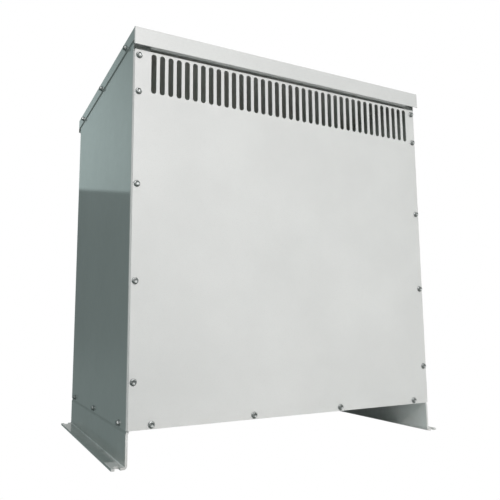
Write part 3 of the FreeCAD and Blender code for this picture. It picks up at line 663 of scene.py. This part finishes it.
def bolts(node, pitch):
    """Bolts and nutted rods: chamfered heads and nuts on washers, threaded shanks."""
    shape = bmesh.new()
    for points in islands(node):
        direction, centre, planes = steps_along(points)
        low, high = planes[0][0], planes[-1][0]
        shank = min(radius for _, radius in planes)
        wide = [(height, radius) for height, radius in planes if radius > shank * 1.3]
        turned(shape, threads(shank, low + 0.0001, high - 0.0001, pitch), centre, direction, 20)
        inner = sum(height for height, _ in wide) / len(wide)
        for (start, corner), (end, _) in zip(wide[::2], wide[1::2]):
            flats = corner * math.sqrt(3)
            turn = shuffle.uniform(0, math.pi / 3)
            near, far = (start, end) if abs(start - inner) < abs(end - inner) else (end, start)
            if len(wide) == 2:
                near, far = start, end
            rise = far - near
            sense = 1 if rise > 0 else -1
            turned(shape, [(corner * 1.05, near), (corner * 1.12, near + sense * 0.0002),
                           (corner * 1.12, near + sense * 0.0011),
                           (corner * 1.06, near + sense * 0.0013)], centre, direction, 40)
            turned(shape, [(flats * 0.52, near + sense * 0.0013),
                           (corner, near + sense * 0.0013 + rise * 0.12),
                           (corner, near + rise * 0.84), (flats * 0.53, near + rise * 0.94),
                           (flats * 0.47, far), (flats * 0.40, far)],
                   centre, direction, 48, turn, flats)
    return piece_from(node + "_detail", shape, SLOTS[node], "enclosure", (node,))


for node in ("clamp_bolts", "hold_down_bolts", "tie_rods", "lv_board_bolts", "hv_board_bolts",
             "ground_strap_bolts", "hv_tap_studs"):
    bolts(node, FINE_PITCH if "stud" in node or "strap" in node else COARSE_PITCH)


# ---------------------------------------------------------------- windings


def rounded_path(half_x, half_y, radius, corner_steps=8, straight_steps=3):
    """Points of a rounded rectangle with their outward directions, going round once."""
    path = []
    for index, (sx, sy) in enumerate(((1, 1), (-1, 1), (-1, -1), (1, -1))):
        centre = Vector((sx * (half_x - radius), sy * (half_y - radius), 0))
        for step in range(corner_steps + 1):
            angle = math.pi / 2 * (index + step / corner_steps)
            out = Vector((math.cos(angle), math.sin(angle), 0))
            path.append((centre + out * radius, out))
    full = []
    for (point, out), (after, out_after) in zip(path, path[1:] + path[:1]):
        full.append((point, out))
        if (out - out_after).length < 1e-6:
            for step in range(1, straight_steps):
                full.append((point.lerp(after, step / straight_steps), out))
    return full


def wrap(shape, path, profile, centre, wander=0.0):
    """Sweeps a closed (offset, height) profile round the path."""
    rings = []
    for point, out in path:
        rings.append([shape.verts.new(centre + point + out * (offset - shuffle.uniform(0, wander))
                                      + Vector((0, 0, height))) for offset, height in profile])
    for ring, after in zip(rings, rings[1:] + rings[:1]):
        for index in range(len(profile)):
            nxt = (index + 1) % len(profile)
            shape.faces.new((ring[index], ring[nxt], after[nxt], after[index]))


def end_layers(build, count, low_to_high, depth=0.0012):
    """Offsets and drops of the coil's end face, where its layers of wire and paper show."""
    steps = []
    for layer in range(count):
        a, b = build * layer / count, build * (layer + 1) / count
        steps += [(a + build * 0.012, depth if layer else 0.0),
                  (a + build * 0.03, 0.0), (b - build * 0.03, 0.0),
                  (b - build * 0.012, depth if layer < count - 1 else 0.0)]
    return steps if low_to_high else steps[::-1]


def coil(node, build, corner, turns, layers, collar):
    """Wound coil: ridged turns between two end collars, with its layers showing at the ends."""
    low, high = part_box(node)
    centre = Vector(((low.x + high.x) / 2, (low.y + high.y) / 2, 0))
    half_x, half_y = (high.x - low.x) / 2 - build, (high.y - low.y) / 2 - build
    path = rounded_path(half_x, half_y, corner)
    outside = build - 0.0006
    pitch = (high.z - low.z - 2 * collar) / turns
    profile = [(offset, high.z - drop) for offset, drop in end_layers(build, layers, True)]
    profile += [(outside, high.z - 0.001), (outside, high.z - collar + 0.0008),
                (outside - 0.0012, high.z - collar)]
    for turn in range(turns):
        top = high.z - collar - pitch * turn
        profile += [(outside - 0.0016, top - pitch * 0.06), (outside - 0.0006, top - pitch * 0.25),
                    (outside - 0.0003, top - pitch * 0.5), (outside - 0.0006, top - pitch * 0.75),
                    (outside - 0.0016, top - pitch * 0.94)]
    profile += [(outside - 0.0012, low.z + collar), (outside, low.z + collar - 0.0008),
                (outside, low.z + 0.001)]
    profile += [(offset, low.z + drop) for offset, drop in end_layers(build, layers, False)]
    shape = bmesh.new()
    wrap(shape, path, profile, centre)
    return piece_from(node + "_wound", shape, SLOTS[node], "enclosure", (node,), 50.0)


for side in ("left", "middle", "right"):
    coil("hv_coil_" + side, build=0.020, corner=0.020, turns=46, layers=5, collar=0.016)
    coil("lv_coil_" + side, build=0.018, corner=0.006, turns=6, layers=7, collar=0.020)


# ---------------------------------------------------------------- core

X_AXIS, Z_AXIS = 0, 2


def stacked(node, along, across, sheets=24):
    """Core leg or yoke built of uneven packets of laminations along Y."""
    low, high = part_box(node)
    start, end = low[along], high[along]
    near, far = low[across], high[across]
    pitch = (high.y - low.y) / sheets
    outline = []
    for side, edge in ((1, far), (-1, near)):
        rows = range(sheets) if side > 0 else range(sheets - 1, -1, -1)
        for sheet in rows:
            inset = side * shuffle.uniform(0.0, 0.0007)
            a, b = low.y + pitch * sheet, low.y + pitch * (sheet + 1)
            gap = pitch * 0.07
            ends = (a + gap, b - gap) if side > 0 else (b - gap, a + gap)
            valley = edge - side * 0.0016
            first, last = (a, b) if side > 0 else (b, a)
            outline += [(valley, first), (edge - inset, ends[0]), (edge - inset, ends[1]),
                        (valley, last)]
    clean = []
    for point in outline:
        if not clean or (abs(point[0] - clean[-1][0]) + abs(point[1] - clean[-1][1])) > 1e-7:
            clean.append(point)
    shape = bmesh.new()
    caps = []
    for value in (start, end):
        ring = []
        for across_value, y in clean:
            point = Vector((0, y, 0))
            point[along] = value
            point[across] = across_value
            ring.append(shape.verts.new(point))
        caps.append(ring)
    for index in range(len(clean)):
        after = (index + 1) % len(clean)
        shape.faces.new((caps[0][index], caps[0][after], caps[1][after], caps[1][index]))
    shape.faces.new(caps[0][::-1])
    shape.faces.new(caps[1])
    return piece_from(node + "_stacked", shape, "core_steel", "enclosure", (node,), 25.0)


for node in ("core_limb_left", "core_limb_middle", "core_limb_right"):
    stacked(node, along=Z_AXIS, across=X_AXIS)
for node in ("bottom_yoke", "top_yoke"):
    stacked(node, along=X_AXIS, across=Z_AXIS)


# ---------------------------------------------------------------- sheet and bar edges

EDGES = {
    "front_panel": 0.0004, "rear_panel": 0.0004, "top_cover": 0.0005, "left_foot": 0.0008,
    "right_foot": 0.0008, "left_side_panel": 0.0004, "right_side_panel": 0.0004,
    "front_bottom_rail": 0.0004, "rear_bottom_rail": 0.0004, "front_top_rail": 0.0004,
    "rear_top_rail": 0.0004, "front_core_channel": 0.0008, "rear_core_channel": 0.0008,
    "front_bottom_clamp": 0.0010, "rear_bottom_clamp": 0.0010, "front_top_clamp": 0.0010,
    "rear_top_clamp": 0.0010, "lifting_lugs": 0.0012, "isolation_pads": 0.0015,
    "lv_terminal_board": 0.0006, "hv_terminal_board": 0.0006, "lv_board_brackets": 0.0006,
    "hv_board_brackets": 0.0006, "hv_tap_boards": 0.0006, "hv_tap_links": 0.0004,
    "lv_phase_bar_left": 0.0007, "lv_phase_bar_middle": 0.0007, "lv_phase_bar_right": 0.0007,
    "lv_neutral_bus": 0.0007, "hv_terminal_bars": 0.0006, "ground_lug": 0.0008,
    "lower_coil_blocks": 0.0010, "upper_coil_blocks": 0.0010, "duct_spacers": 0.0006,
    "ground_strap": 0.0003,
}
for node, width in EDGES.items():
    bevel(NODES[node], width)


make_camera()
make_floor()
make_backdrop()
make_world()
make_lamps()
make_flag()
bpy.context.scene.view_settings.view_transform = "Standard"
